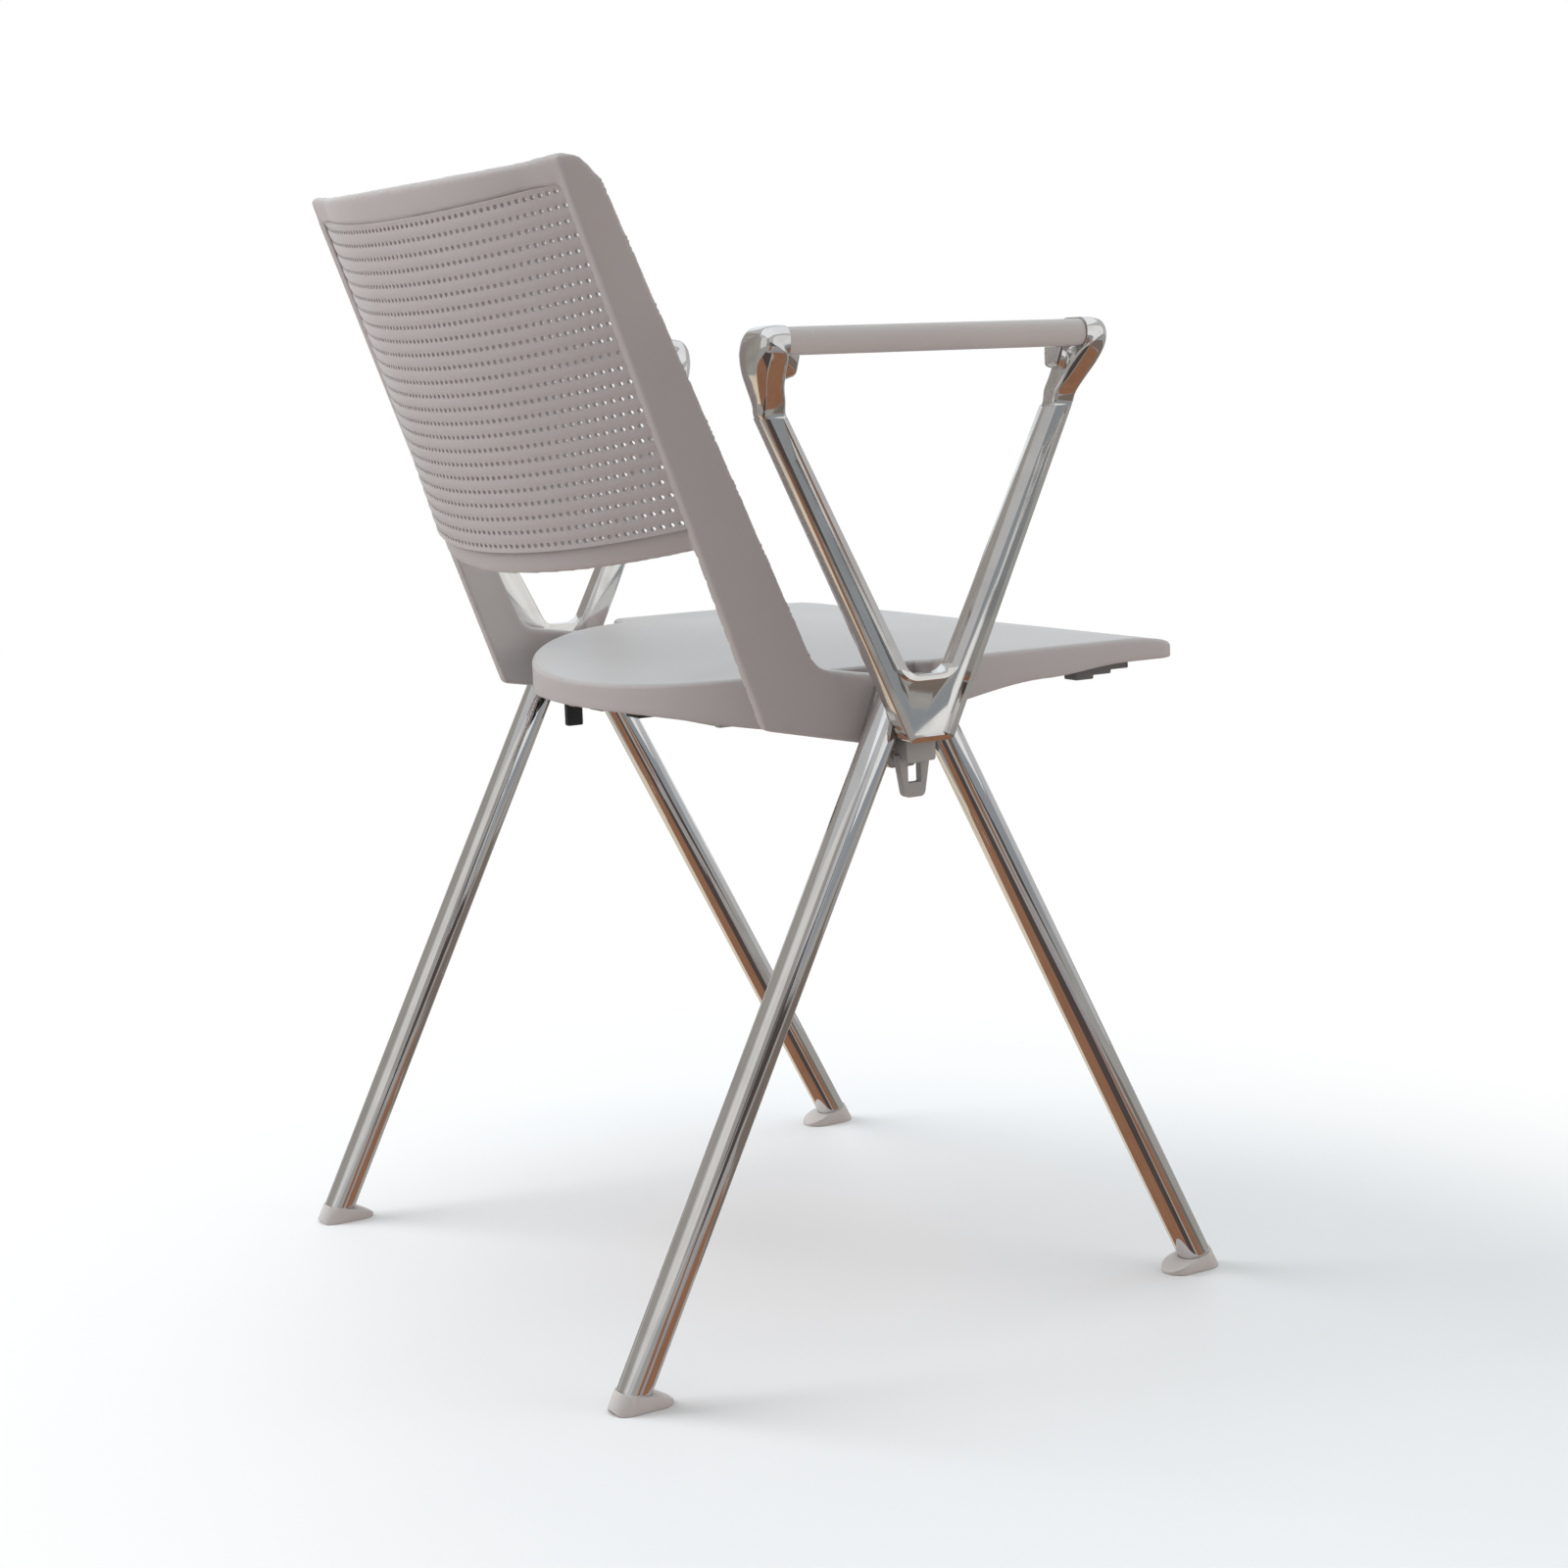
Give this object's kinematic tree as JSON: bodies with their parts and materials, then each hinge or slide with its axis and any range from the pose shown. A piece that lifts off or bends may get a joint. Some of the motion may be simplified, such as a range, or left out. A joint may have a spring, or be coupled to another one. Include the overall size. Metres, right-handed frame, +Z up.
{
  "type": "stacking conference armchair",
  "caption": "Stacking armchair with A-shaped chromed tube legs, V-shaped polished arm castings, a dished grey plastic seat, a perforated bowed back and a sliding row link.",
  "frame": {"origin": "on the floor under the middle of the chair's overall box", "axes": "+Z up, -Y to the front where the sitter faces, +X to the sitter's left"},
  "size_m": [0.577, 0.4874, 0.7694],
  "materials": {
    "shell_plastic": "warm grey moulded plastic, fine satin grain",
    "chrome": "chromed steel tube",
    "polished_casting": "polished and plated casting",
    "glide_plastic": "grey moulded plastic",
    "block_plastic": "mid-grey moulded plastic",
    "bumper_plastic": "dark grey moulded plastic",
    "black_plastic": "black moulded plastic",
    "plated_steel": "zinc-plated steel"
  },
  "bodies": {
    "chair": {"leg_front_left": "chrome", "leg_front_right": "chrome", "leg_rear_left": "chrome", "leg_rear_right": "chrome", "foot_glide_front_left": "glide_plastic", "foot_glide_front_right": "glide_plastic", "foot_glide_rear_left": "glide_plastic", "foot_glide_rear_right": "glide_plastic", "hub_plate_left": "plated_steel", "hub_plate_right": "plated_steel", "cross_tube": "chrome", "side_bolts": "plated_steel", "crotch_block_left": "block_plastic", "link_loop_right": "block_plastic", "link_guide_inner": "block_plastic", "link_guide_outer": "block_plastic", "seat_rail_left": "plated_steel", "seat_rail_right": "plated_steel", "seat_shell": "shell_plastic", "seat_screws": "plated_steel", "stacking_bumper_left": "bumper_plastic", "stacking_bumper_right": "bumper_plastic", "back_frame": "shell_plastic", "back_panel": "shell_plastic", "arm_casting_left": "polished_casting", "arm_casting_right": "polished_casting", "arm_pad_left": "shell_plastic", "arm_pad_right": "shell_plastic", "pad_screws": "plated_steel"},
    "row_link": {"link_bar": "plated_steel", "link_plug": "black_plastic"}
  },
  "joints": [
    {"name": "row_link_slide", "type": "slide", "parent": "chair", "child": "row_link", "axis": [1, 0, 0], "range_m": [0, 0.105]}
  ]
}
